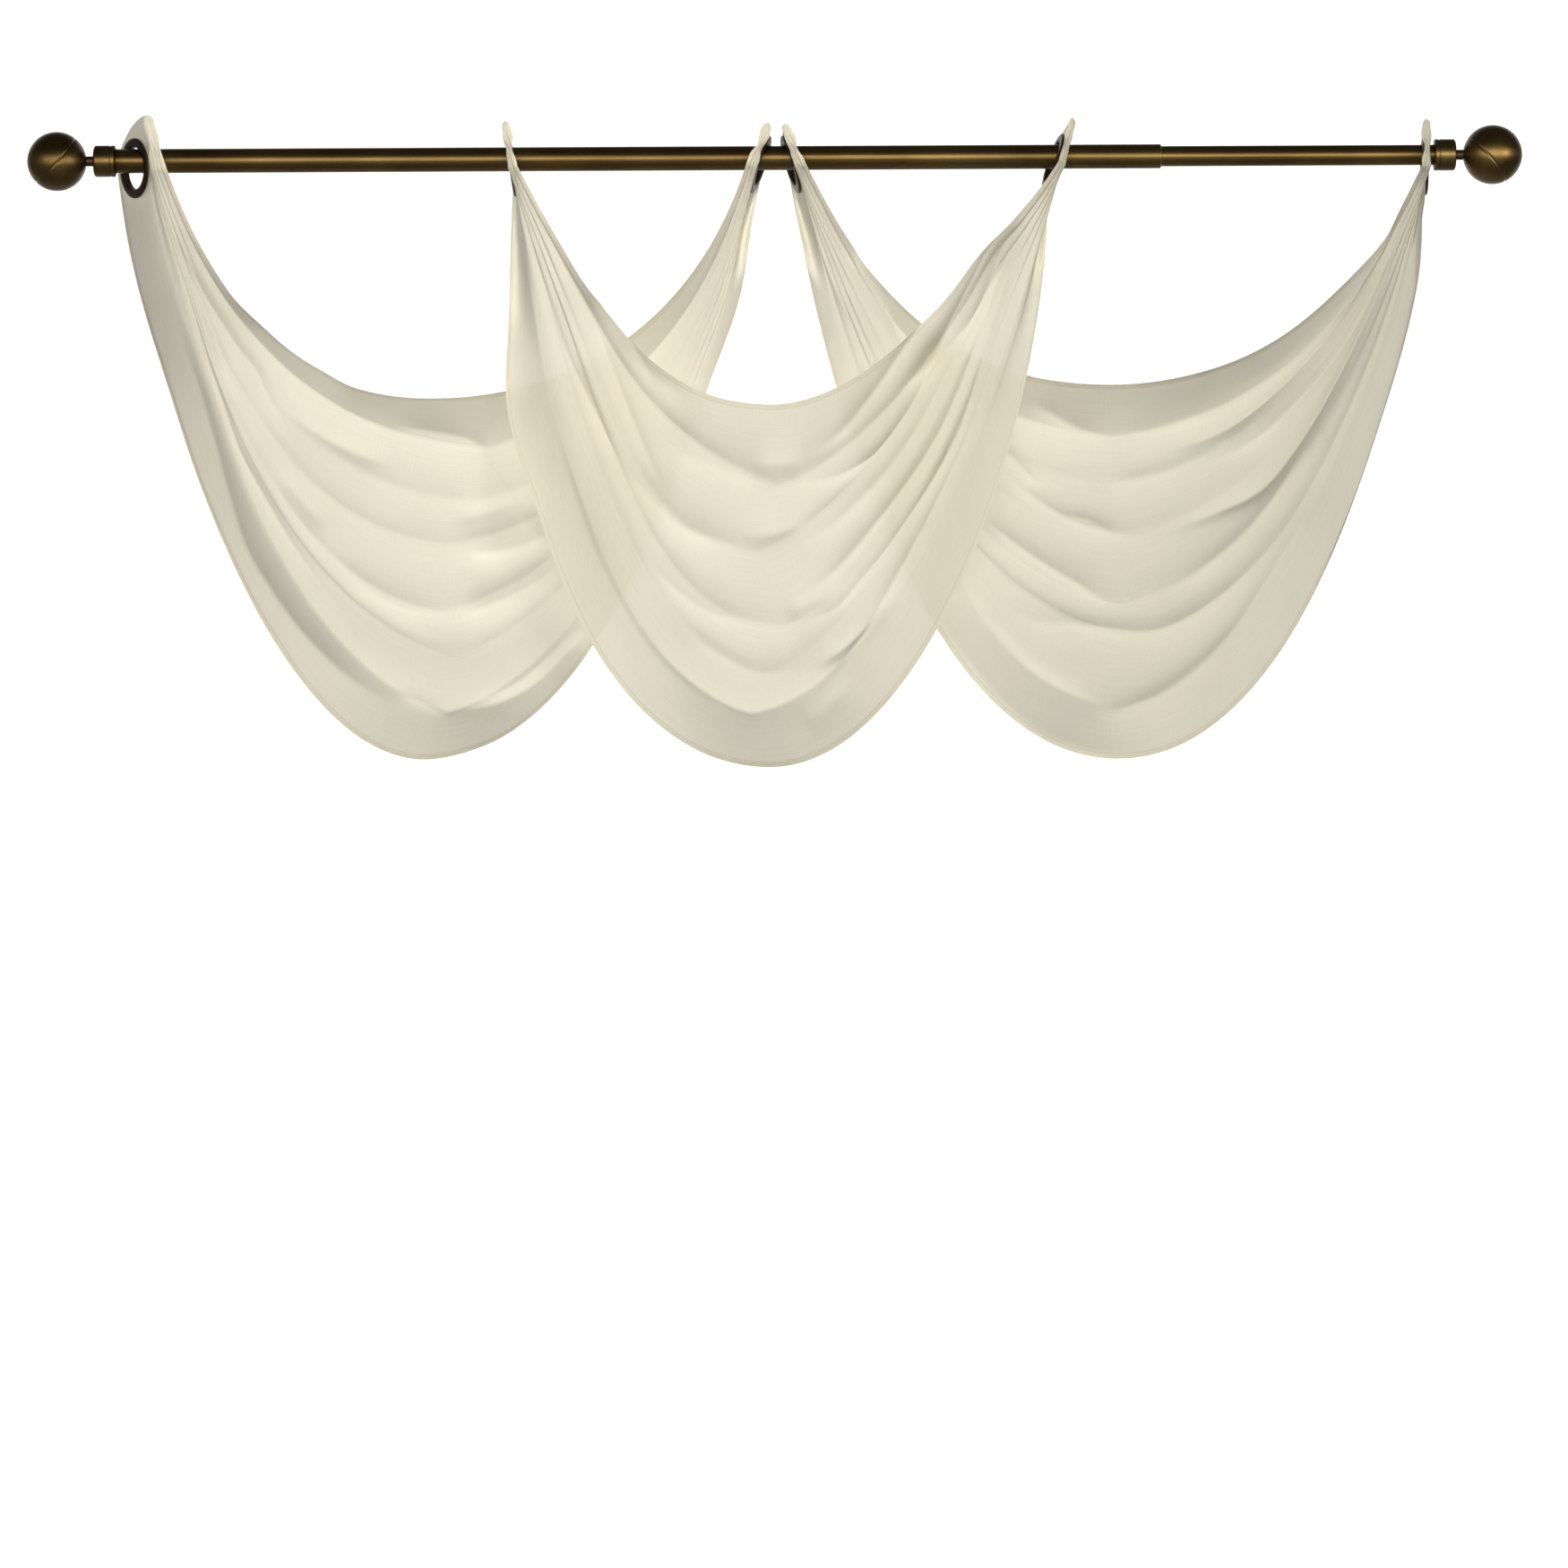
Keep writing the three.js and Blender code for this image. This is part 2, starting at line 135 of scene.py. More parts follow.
SWAGS = {
    "swag_left": {
        "middle": -337,
        "top_hem": {"drop": 245, "shift": -20, "depth": 24},
        "bottom_hem": {"drop": 620, "shift": -24, "depth": 50},
        "tabs": [
            (-659.5, 34, 3, 52, 18, 0.6, 0.55, 6, 0.36, 0.55, 45, 0),
            (-16, 6, 19, 41, 18, 0.58, 0.54, 11, 0.36, 0.54, -10, 0.85),
        ],
        "folds": [
            (295, 36, 0.05, 0.14, 18, 0, -1, 0, 0, 1.2, 2),
            (350, 22, 0.04, 0.1, 10, 1.5, 2, 3, 2, 1.2, 4),
            (395, -6, 0.05, 0.07, 4, 1.5, 2.4, 3, 3, 1.2, 2),
            (465, -12, 0.07, 0.1, -3, 1.5, 2.8, 3, 3, 1.2, 2),
            (512, 0, 0.1, 0.12, -9, 1.5, 2.4, 3, 2, 1.2, 2),
            (571, -3, 0.08, 0.1, -14, 1.5, -2, 2, 3, 1.2, 2),
        ],
        "swings": [
            (1, -32, -150, 70, 8, 0),
        ],
        "creases": [
            (-4, 14, 7, 1.5, ((-405, -270), (-359, -279), (-322, -286), (-296, -298))),
            (-9, 7, 15, 0.8, ((-680, 40), (-620, -80), (-564, -173), (-549, -196), (-535, -215),
                             (-525, -242), (-498, -289))),
            (-6, 5, 11, 0.8, ((-680, 40), (-630, -60), (-583, -159), (-568, -210), (-551, -252))),
            (-7, 5, 12, 0.8, ((-680, 40), (-646, -40), (-613, -122), (-592, -196), (-575, -242),
                              (-555, -298), (-530, -344), (-498, -400), (-465, -441))),
            (-13, 24, 80, 1, ((-648, -50), (-635, -113), (-613, -205), (-587, -298), (-561, -390),
                              (-535, -437), (-502, -483), (-461, -524), (-419, -552), (-382, -566))),
            (-7, 30, 28, 3, ((-572, -141), (-525, -185), (-479, -215), (-433, -233))),
            (5, 14, 12, 3, ((-525, -241), (-479, -278), (-433, -301), (-396, -312))),
            (-10, 34, 8, 2, ((-331, -402), (-294, -401), (-257, -391), (-229, -372))),
            (-10, 18, 12, 2, ((-336, -468), (-299, -457), (-257, -437), (-220, -408))),
            (-4, 13, 9, 2, ((-461, -409), (-424, -441), (-387, -460), (-350, -467))),
            (-12, 50, 50, 2, ((-390, -624), (-340, -618), (-285, -603), (-239, -571),
                              (-202, -527), (-150, -450))),
            (6, 6, 30, 1.5, ((-340, -573), (-290, -561), (-248, -538), (-211, -503), (-192, -483))),
            (-4, 20, 6, 1.5, ((-310, -558), (-270, -541), (-239, -515), (-205, -478))),
            (4, 14, 10, 3, ((-340, -370), (-299, -360), (-257, -346))),
            (4, 11, 9, 3, ((-516, -317), (-493, -349), (-465, -377))),
            (-3, 8, 5, 1, ((-396, -548), (-368, -561), (-343, -573))),
        ],
    },
    "swag_centre": {
        "middle": -5.5,
        "top_hem": {"drop": 258, "shift": 2, "depth": -58},
        "bottom_hem": {"drop": 629, "shift": -2, "depth": -32},
        "tabs": [
            (-271, 2, 9, 44, 27, 0.56, 0.53, -3, 0.66, 0.58, -45, 0.5),
            (289, -8, 18, 45, 32, 0.34, 0.38, -1, 0.38, 0.59, -60, 0.8),
        ],
        "folds": [
            (340, 6, 0.17, 0.1, 5, 1.5, 2, 2, 3, 1.2, 4),
            (407, -13, 0.01, 0.12, -1, 1.5, 2.8, 2, 4, 1.2, 3),
            (483, 16, 0.0, 0.12, -7, 1.5, 2.3, 2, 4, 1.2, 4),
            (531, -10, 0.1, 0.08, -13, 1.5, 1.8, 2, 3, 1.2, 4),
            (574, -22, 0.08, 0.05, -19, 1, -1.5, 2, 3, 1.2, 4),
        ],
        "swings": [
            (1, -279, -262, 80, -14, 0),
            (0, 205, -108, 38, -2, 4),
        ],
        "creases": [
            (4, 14, 16, 5, ((-28, -317), (2, -318), (32, -314))),
            (-2.5, 25, 9, 1.5, ((-137, -283), (-91, -307), (-44, -327), (-2, -340))),
            (-12, 30, 9, 1.5, ((252, -75), (236, -120), (202, -170), (158, -218), (112, -252))),
            (-7, 10, 8, 1, ((270, 0), (219, -84), (168, -154), (130, -205), (71, -279), (30, -307))),
            (-8, 11, 8, 1, ((2, -340), (48, -332), (85, -316), (108, -298), (141, -252), (167, -205),
                             (191, -159), (235, -80), (280, 10))),
            (-8, 11, 8, 1, ((20, -400), (67, -372), (133, -298), (187, -205), (215, -150),
                             (250, -75), (290, 10))),
            (4, 14, 16, 5, ((-37, -391), (2, -387), (43, -381))),
            (-6, 20, 9, 1.5, ((-165, -303), (-123, -356), (-90, -385), (-21, -407))),
            (-6, 8, 11, 0.8, ((-290, 30), (-245, -60), (-197, -154), (-174, -205),
                              (-137, -293), (-103, -363))),
            (-6, 8, 10, 0.8, ((-295, 30), (-258, -70), (-231, -150), (-214, -205),
                              (-192, -252), (-169, -298), (-142, -353))),
            (-3, 9, 10, 1, ((-185, -141), (-174, -159), (-143, -205), (-112, -262))),
            (5, 14, 16, 5, ((6, -474), (39, -460), (80, -440))),
            (-4, 16, 9, 1.5, ((-137, -405), (-100, -446), (-58, -472), (2, -483))),
            (-8, 10, 8, 1, ((16, -460), (53, -432), (92, -390), (161, -298), (203, -205),
                             (228, -140), (260, -70), (295, 20))),
            (-8, 10, 8, 1, ((6, -484), (57, -466), (85, -436), (122, -390), (182, -298),
                             (215, -205), (240, -130), (267, -65), (300, 30))),
            (-8, 42, 40, 1.5, ((-268, -120), (-262, -159), (-248, -205), (-223, -298), (-194, -390),
                               (-155, -469), (-118, -522), (-77, -557), (-33, -575))),
            (-8, 8, 28, 1.5, ((258, -122), (228, -205), (193, -298), (147, -390), (106, -464),
                              (70, -520), (34, -566))),
            (6, 12, 8, 2, ((34, -526), (67, -505), (99, -476), (122, -443))),
            (3, 13, 14, 5, ((25, -584), (48, -570), (80, -540))),
            (-3, 12, 9, 1.5, ((-100, -480), (-63, -510), (-17, -531), (30, -522))),
            (-8, 30, 25, 3, ((-211, -122), (-165, -191), (-118, -233), (-72, -256))),
        ],
    },
    "swag_right": {
        "middle": 353,
        "top_hem": {"drop": 234, "shift": -6, "depth": 24},
        "bottom_hem": {"drop": 622, "shift": 1, "depth": 50},
        "tabs": [
            (18, 7, 17, 40, 27, 0.56, 0.57, 8, 0.38, 0.58, 10, 0.85),
            (671, 4, 1, 44, 23, 0.55, 0.57, 6, 0.36, 0.63, 10, 0.85),
        ],
        "folds": [
            (286, -3, 0.05, 0.08, 18, 0, -1, 0, 0, 1.2, 2),
            (332, -8, 0.04, 0.08, 8, 2, 1.5, 2, 2, 1.2, 4),
            (388, 19, 0.03, 0.14, 4, 2, 2, 2, 3, 1.2, 4),
            (460, 3, 0.1, 0.12, 4, 2, 2, 2, 2, 1.2, 4),
            (496, 28, 0.06, 0.12, 3, 2, 1.5, 2, 2, 1.2, 4),
            (569, 2, 0.12, 0.12, 0, 2, 2, 2, 3, 1.2, 3),
        ],
        "swings": [
            (1, 652, -165, 110, 6, 0),
            (0, 598, -117, 40, 1, 2),
        ],
        "creases": [
            (-6, 15, 8, 1.5, ((259, -247), (293, -268), (321, -281), (349, -286))),
            (-11, 32, 8, 2, ((353, -287), (400, -279), (446, -266), (494, -247), (532, -222),
                             (570, -182), (598, -136), (626, -85))),
            (13, 9, 6, 1.5, ((400, -300), (440, -291), (476, -275), (514, -245), (554, -205), (589, -159),
                              (616, -113), (638, -60), (665, 20), (690, 120))),
            (-12, 15, 8, 1.5, ((430, -320), (482, -298), (517, -273), (570, -217), (604, -167), (628, -117),
                               (648, -60), (670, 20), (694, 120))),
            (-4, 11, 10, 2, ((339, -337), (400, -324), (464, -298))),
            (14, 8, 5, 0.8, ((390, -393), (448, -369), (503, -342), (543, -295), (577, -240),
                             (607, -178), (637, -104), (658, -30), (680, 60), (700, 150))),
            (-5, 12, 9, 1.5, ((233, -316), (261, -342), (298, -367), (335, -383), (386, -390))),
            (-3, 6, 6, 1, ((298, -365), (326, -372), (349, -389))),
            (-7, 15, 7, 1, ((213, -367), (242, -392), (275, -416), (316, -441), (353, -467))),
            (-5, 9, 10, 1.5, ((400, -450), (446, -422), (492, -381), (529, -330), (560, -270))),
            (-4, 11, 8, 1.5, ((215, -437), (261, -472), (307, -480), (353, -485), (390, -488),
                              (437, -469), (492, -423), (538, -353))),
            (-12, 38, 38, 2, ((120, -390), (168, -474), (215, -540), (261, -586),
                              (307, -609), (353, -617), (420, -610))),
            (9, 10, 40, 1.5, ((180, -410), (196, -446), (228, -494), (270, -534), (312, -557), (352, -571))),
            (-6, 9, 32, 1.5, ((330, -575), (358, -569), (409, -549), (464, -500), (511, -430), (548, -370),
                              (565, -330))),
            (-3, 20, 34, 1, ((548, -370), (580, -298), (612, -219), (638, -150), (664, -60), (690, 60))),
            (-5, 7, 11, 1, ((231, -289), (252, -315), (275, -335))),
            (6, 4, 4, 0.8, ((25, -35), (39, -76), (53, -113), (67, -145), (80, -178))),
            (8, 4, 7, 0.8, ((78, -95), (87, -113), (99, -136), (113, -164), (130, -200))),
        ],
    },
}


def lerp(start, end, share):
    return start + (end - start) * share


def smooth(low, high, value):
    share = np.clip((value - low) / (high - low), 0, 1)
    return share * share * (3 - 2 * share)


def tab_frame(tab, side):
    """The flat tab round an eyelet: its centre, and its directions to the back, up and out."""
    yaw, tilt = math.radians(tab["yaw"]), math.radians(tab["tilt"])
    rod_radius = THIN_TUBE_RADIUS if tab["x"] > WIDE_TUBE_END else WIDE_TUBE_RADIUS
    half_barrel = CLOTH_SOLID / 2 + PIECE_GAP + EYELET_THICKNESS
    inside = EYELET_BORE * math.cos(math.pi / EYELET_SOLID_SIDES)
    slant = abs(math.sin(tilt)) + 1 - math.cos(yaw)
    reach = inside * math.cos(tilt) - half_barrel * slant
    level = np.array((side * math.cos(yaw), -math.sin(yaw), 0.0))
    plumb = np.array((0.0, 0.0, 1.0))
    return {
        "centre": np.array((tab["x"], 0.0, rod_radius + HANG_GAP - reach)),
        "back": np.array((side * math.sin(yaw), math.cos(yaw), 0.0)),
        "up": plumb * math.cos(tilt) + level * math.sin(tilt),
        "out": level * math.cos(tilt) - plumb * math.sin(tilt),
    }


def cloth_rows(swag):
    """The lines along the cloth from tab to tab, top hem first, as one array for each measure."""
    valleys = [dict(zip(FOLD_ROW, row)) for row in swag["folds"]]
    level = dict.fromkeys(FOLD_ROW, 0) | {"low": 1, "soft": 2}
    edges = [level | swag["top_hem"], *valleys, level | swag["bottom_hem"]]
    count = len(valleys)
    panels = np.append(np.repeat(np.arange(count + 1), ROWS_PER_PANEL), count)
    share = np.append(np.tile(np.arange(ROWS_PER_PANEL) / ROWS_PER_PANEL, count + 1), 1.0)

    def between(key):
        values = np.array([edge[key] for edge in edges], float)
        return lerp(values[panels], values[panels + 1], share)

    def below(key):
        return np.array([edge[key] for edge in edges], float)[panels + 1]

    rows = {key: between(key) for key in ("drop", "shift", "vee_left", "vee_right", "back", "soft")}
    rows |= {key: below(key) for key in ("left", "mid", "right", "droop", "low")}
    rows |= {
        "panel": panels,
        "share": share,
        "belly": 4 * share * (1 - share),
        "across": (panels + share) / (count + 1),
        "gather": np.minimum(1, (panels + share) / count),
        "flat": np.where(panels == count, share, 0.0),
    }
    return rows


def tab_points(tab, place, rows, height):
    """Where the lines cross the tab, from height 0 at the tab's foot to 1 at its top edge."""

    def across(edge):
        return lerp(lerp(edge["front"], edge["roll_end"], rows["gather"]), TAB["back"], rows["flat"])

    foot_across, top_across = across(TAB), across(TAB_TOP)
    foot = -TAB["below"] - np.sqrt(np.maximum(0, TAB["clear_radius"] ** 2 - foot_across**2))
    from_peak = (top_across - TAB_TOP["peak"]) / (TAB["back"] - TAB_TOP["peak"])
    top = tab["top"] - TAB_TOP["back_drop"] * from_peak**2
    roll = ROLL_OUT * np.sin(math.pi * rows["gather"]) - ROLL_INWARD * (1 - rows["gather"])
    pleat = PLEAT_AT_TAB * (rows["belly"] - 0.5) * (rows["flat"] == 0)
    from_waist = (height - TAB_WAIST["height"]) / TAB_WAIST["reach"]
    waist = 1 - TAB_WAIST["narrowing"] * math.exp(-(from_waist**2))
    blunt = math.sqrt(1 - height**TAB_BLUNTNESS)
    wave = CRUMPLE["up"] * height + CRUMPLE["across"] * rows["gather"] + tab["x"]
    crumple = CRUMPLE["size"] * np.sin(wave) * math.sin(math.pi * height)
    offsets = (
        (place["back"], lerp(foot_across, top_across, height)),
        (place["out"], ((roll + pleat) * waist + crumple * (rows["flat"] == 0)) * blunt),
        (place["up"], lerp(foot, top, height)),
    )
    return place["centre"] + sum(np.outer(amount, direction) for direction, amount in offsets)


def half_lines(swag, rows, tab, place, side, steps):
    """The lines from a tab's foot down to the swag's middle, as points [row, step]."""
    foot = tab_points(tab, place, rows, 0.0)
    hem = rows["across"] ** HEM_PULL
    lean = np.radians(lerp(tab["lean"], tab["hem_lean"], hem))
    depth = lerp(swag["top_hem"]["depth"], swag["bottom_hem"]["depth"], rows["across"])
    low = np.stack((swag["middle"] + rows["shift"], depth + rows["back"], -rows["drop"]), 1)
    height, width = foot[:, 2] - low[:, 2], np.abs(foot[:, 0] - low[:, 0])
    fall = lerp(tab["fall"], tab["hem_fall"], hem) * height
    sweep = lerp(tab["sweep"], tab["hem_sweep"], hem) * width
    vee = rows["vee_left"] if side < 0 else rows["vee_right"]
    leaving = np.stack(
        (
            foot[:, 0] - side * fall * np.sin(lean),
            lerp(lerp(foot[:, 1], low[:, 1], LEAVING_DEPTH), tab["hem_depth"], rows["flat"]),
            foot[:, 2] - fall * np.cos(lean),
        ),
        1,
    )
    arriving = np.stack((low[:, 0] + side * sweep, low[:, 1], low[:, 2] + vee * height), 1)
    t = steps[None, :, None]
    ends = (1 - t) ** 3 * foot[:, None] + t**3 * low[:, None]
    return ends + 3 * (1 - t) ** 2 * t * leaving[:, None] + 3 * (1 - t) * t**2 * arriving[:, None]


def blurred(values, axis, width):
    """values averaged along an axis with a soft window of that many steps, its ends held."""
    reach = np.arange(-2 * width, 2 * width + 1)
    weights = np.exp(-0.5 * (reach / width) ** 2)
    weights /= weights.sum()
    count = values.shape[axis]
    index = np.clip(np.arange(count)[:, None] + reach, 0, count - 1)
    return np.tensordot(np.take(values, index, axis), weights, ([axis + 1], [0]))


def through(points, count):
    """A smooth line through points, as that many points."""
    p = np.array(points, float)
    p = np.vstack((2 * p[0] - p[1], p, 2 * p[-1] - p[-2]))
    at = np.linspace(0, len(p) - 3, count)
    k = np.minimum(at.astype(int), len(p) - 4)
    t = (at - k)[:, None]
    a, b, c, d = (p[k + i] for i in range(4))
    return 0.5 * (2 * b + (c - a) * t + (2 * a - 5 * b + 4 * c - d) * t**2 + (3 * b - a - 3 * c + d) * t**3)


def crease_relief(points, crease):
    """How far a crease lifts each point of the cloth's front, seen from the front."""
    line = through(sorted(crease["line"]), CREASE_POINTS)
    start, step = line[:-1], np.diff(line, axis=0)
    flat = points[..., (0, 2)].reshape(-1, 1, 2)
    along = np.clip(((flat - start) * step).sum(2) / (step**2).sum(1), 0, 1)
    away = flat - start - along[..., None] * step
    nearest = np.argmin((away**2).sum(2), 1)
    pick = np.arange(len(nearest))
    away, place = away[pick, nearest], (nearest + along[pick, nearest]) / len(step)
    side = step[nearest, 0] * away[:, 1] - step[nearest, 1] * away[:, 0]
    distance = np.hypot(np.hypot(*away.T), crease["soft"]) - crease["soft"]
    width = np.where(side > 0, crease["above"], crease["below"])
    ends = smooth(0, CREASE_FADE, place) * smooth(0, CREASE_FADE, 1 - place)
    return (crease["height"] * np.exp(-distance / width) * ends).reshape(points.shape[:-1])


def swag_grid(swag, tabs, places):
    """The cloth as points [row, column], from the left tab to the right one."""
    rows = cloth_rows(swag)
    steps = np.linspace(0, 1, STEPS_PER_SIDE + 1)
    left = half_lines(swag, rows, tabs[0], places[0], -1, steps)
    right = half_lines(swag, rows, tabs[1], places[1], 1, steps)
    body = np.concatenate((left, right[:, -2::-1]), 1)
    along = np.concatenate((steps - 1, 1 - steps[-2::-1]))
    down = 1 - np.abs(along)
    begun = {key: smooth(*shares, down) for key, shares in ON_THE_WAY.items()}

    # Past its tab the bottom hem comes forward, more or less level with the last valley.
    level = np.where(along < 0, tabs[0]["hem_level"], tabs[1]["hem_level"])
    level = level * begun["hem_forward"] * (1 - begun["hem_back"])
    last = body[-1 - ROWS_PER_PANEL, :, 1]
    body[-ROWS_PER_PANEL:, :, 1] = lerp(body[-ROWS_PER_PANEL:, :, 1], last, level)

    for row in swag["swings"]:
        swing = dict(zip(SWING_ROW, row))
        away = np.hypot(body[..., 0] - swing["x"], body[..., 2] - swing["z"])
        pull = np.exp(-((away / swing["reach"]) ** 2)) * begun["swings"]
        pull = pull * lerp(1 - rows["across"], rows["across"], swing["hem"])[:, None]
        body[..., 0] += swing["right"] * pull
        body[..., 2] += swing["up"] * pull

    # A fold's belly is round where its valley is kinked.
    rounding = rows["belly"][:, None] * begun["round_bellies"]
    body = lerp(body, blurred(body, 1, BELLY_BLUR), rounding[..., None])

    # Folds and creases stand out square to the cloth's run.
    run = blurred(blurred(body, 0, RUN_BLUR["rows"]), 1, RUN_BLUR["steps"])
    out = np.cross(np.gradient(run, axis=0), np.gradient(run, axis=1))
    out = blurred(out / np.linalg.norm(out, axis=2, keepdims=True), 0, RUN_BLUR["rows"])
    out /= np.linalg.norm(out, axis=2, keepdims=True)
    edges = body[::ROWS_PER_PANEL]
    spacing = np.linalg.norm(np.diff(edges, axis=0), axis=2)[rows["panel"]]
    arm = np.where(along < 0, rows["left"][:, None], rows["right"][:, None])
    middle = begun["middle"]
    bulge = lerp(arm, rows["mid"][:, None], middle)
    wave = UNEVEN_FOLDS["along"] * along + UNEVEN_FOLDS["panel"] * rows["panel"][:, None]
    uneven = 1 + UNEVEN_FOLDS["amount"] * np.sin(wave)
    stand = np.minimum(np.abs(bulge), STEEPEST_FOLD * spacing) * uneven
    gathered = PLEAT_AT_TAB * begun["pleats"] * (1 - begun["pleats_end"])
    gathered = gathered * (rows["flat"] == 0)[:, None]
    lowered = rows["share"][:, None] ** lerp(1.0, rows["low"][:, None], middle)
    belly = 4 * lowered * (1 - lowered)
    relief = np.sign(bulge) * stand * belly * begun["folds"] + gathered * (belly - 0.5)
    sag = rows["droop"][:, None] * belly * stand / np.maximum(1, np.abs(bulge)) * begun["sag"]
    soft = lerp(ARM_SOFTNESS, rows["soft"][:, None], middle)
    for width, start in SOFTENING:
        share = np.clip((soft - start) / SOFTNESS_SPAN, 0, 1)
        relief = lerp(relief, blurred(relief, 0, width), share)
        sag = lerp(sag, blurred(sag, 0, width), share)
    for row in swag["creases"]:
        relief = relief + crease_relief(body, dict(zip(CREASE_ROW, row))) * begun["creases"]
    body = body + relief[..., None] * out
    body[..., 2] -= sag

    heights = np.linspace(1, 0, TAB_STEPS + 1)[:-1]
    tab_columns = [
        np.stack([tab_points(tab, place, rows, height) for height in heights], 1)
        for tab, place in zip(tabs, places)
    ]
    return np.concatenate((tab_columns[0], body, tab_columns[1][:, ::-1]), 1)


def cut_measures(points):
    """Each point's place on the flat cloth in metres, and its distance from a hem's edge in mm."""
    lengths = np.linalg.norm(np.diff(points, axis=1), axis=2)
    run = np.pad(np.cumsum(lengths, 1), ((0, 0), (1, 0)))
    run -= run[:, run.shape[1] // 2][:, None]
    drops = np.linalg.norm(np.diff(points, axis=0), axis=2)
    fall = np.pad(np.cumsum(drops, 0), ((1, 0), (0, 0)))
    middle = fall[:, fall.shape[1] // 2][:, None] + 0 * fall
    return np.stack((run, middle), 2) * MM, np.minimum(fall, fall[-1] - fall)


def on_row(grid, row, share):
    """A grid's values that share of the way down to row, one for each column."""
    pick = np.arange(grid.shape[1])
    return lerp(grid[row - 1, pick], grid[row, pick], share[:, None])


def turned_hem(points, cut):
    """The narrow strip turned to the back along the first row of points, and its measures."""
    facing = np.cross(np.gradient(points, axis=0), np.gradient(points, axis=1))
    facing /= np.linalg.norm(facing, axis=2, keepdims=True)
    drops = np.linalg.norm(np.diff(points, axis=0), axis=2)
    fall = np.pad(np.cumsum(drops, 0), ((1, 0), (0, 0)))
    strip, places, depths = [], [], []
    for width in np.linspace(0, HEM_WIDTH, HEM_ROWS):
        depth = np.minimum(width, HEM_SHARE_OF_PANEL * fall[ROWS_PER_PANEL])
        row = np.clip((fall < depth).sum(0), 1, len(fall) - 1)
        pick = np.arange(fall.shape[1])
        share = (depth - fall[row - 1, pick]) / np.maximum(1e-6, fall[row, pick] - fall[row - 1, pick])
        turn = HEM_TURN if width else HEM_EDGE_TURN
        strip.append(on_row(points, row, share) - turn * on_row(facing, row, share))
        places.append(on_row(cut, row, share))
        depths.append(depth)
    return np.array(strip), np.array(places), np.array(depths)


def in_eyelets(points, places):
    """True for the points that an eyelet's barrel passes through."""
    inside = np.zeros(points.shape[:-1], bool)
    for place in places:
        arm = points - place["centre"]
        level = np.hypot(arm @ place["back"], arm @ place["up"])
        inside |= (level < EYELET_BARREL + HOLE_MARGIN) & (np.abs(arm @ place["out"]) < HOLE_REACH)
    return inside


def cloth_mesh(name, sheets, places):
    """One mesh of quads from (points, cut, edge) grids, with a hole at each eyelet."""
    points, cuts, edges, quads, first = [], [], [], [], 0
    for grid, cut, edge in sheets:
        count, wide = grid.shape[:2]
        number = first + np.arange(count * wide).reshape(count, wide)
        around = np.stack((number[:-1, :-1], number[1:, :-1], number[1:, 1:], number[:-1, 1:]), 2)
        middles = (grid[:-1, :-1] + grid[1:, 1:]) / 2
        quads.append(around[~in_eyelets(middles, places)])
        points.append(grid.reshape(-1, 3))
        cuts.append(cut.reshape(-1, 2))
        edges.append(edge.reshape(-1))
        first += count * wide
    points, quads = np.concatenate(points), np.concatenate(quads)
    used = np.unique(quads)
    renumber = np.zeros(len(points), int)
    renumber[used] = np.arange(len(used))
    mesh = bpy.data.meshes.new(name)
    mesh.from_pydata((points[used] * MM).tolist(), [], renumber[quads].tolist())
    mesh.polygons.foreach_set("use_smooth", [True] * len(mesh.polygons))
    corners = np.empty(len(mesh.loops), int)
    mesh.loops.foreach_get("vertex_index", corners)
    cut = np.concatenate(cuts)[used]
    mesh.uv_layers.new(name="cut").data.foreach_set("uv", cut[corners].ravel())
    mesh.attributes.new("edge_mm", "FLOAT", "POINT").data.foreach_set("value", np.concatenate(edges)[used])
    return mesh


def new_material(name):
    """An empty node material: its node tree, and its output."""
    material = bpy.data.materials.new(name)
    material.use_nodes = True
    tree = material.node_tree
    tree.nodes.clear()
    return material, tree, tree.nodes.new("ShaderNodeOutputMaterial")


def node(tree, kind, values=None, links=None, **settings):
    """A shader node with its sockets' values, the sockets that feed it, and its settings."""
    made = tree.nodes.new(kind)
    for key, value in settings.items():
        setattr(made, key, value)
    for key, value in (values or {}).items():
        made.inputs[key].default_value = value
    for key, source in (links or {}).items():
        tree.links.new(source, made.inputs[key])
    return made


def thread_noise(tree, place, scale, detail=2.0):
    stretched = node(tree, "ShaderNodeMapping", {"Scale": scale}, {"Vector": place})
    return node(
        tree,
        "ShaderNodeTexNoise",
        {"Scale": 1.0, "Detail": detail, "Roughness": 0.6},
        {"Vector": stretched.outputs["Vector"]},
    ).outputs["Fac"]


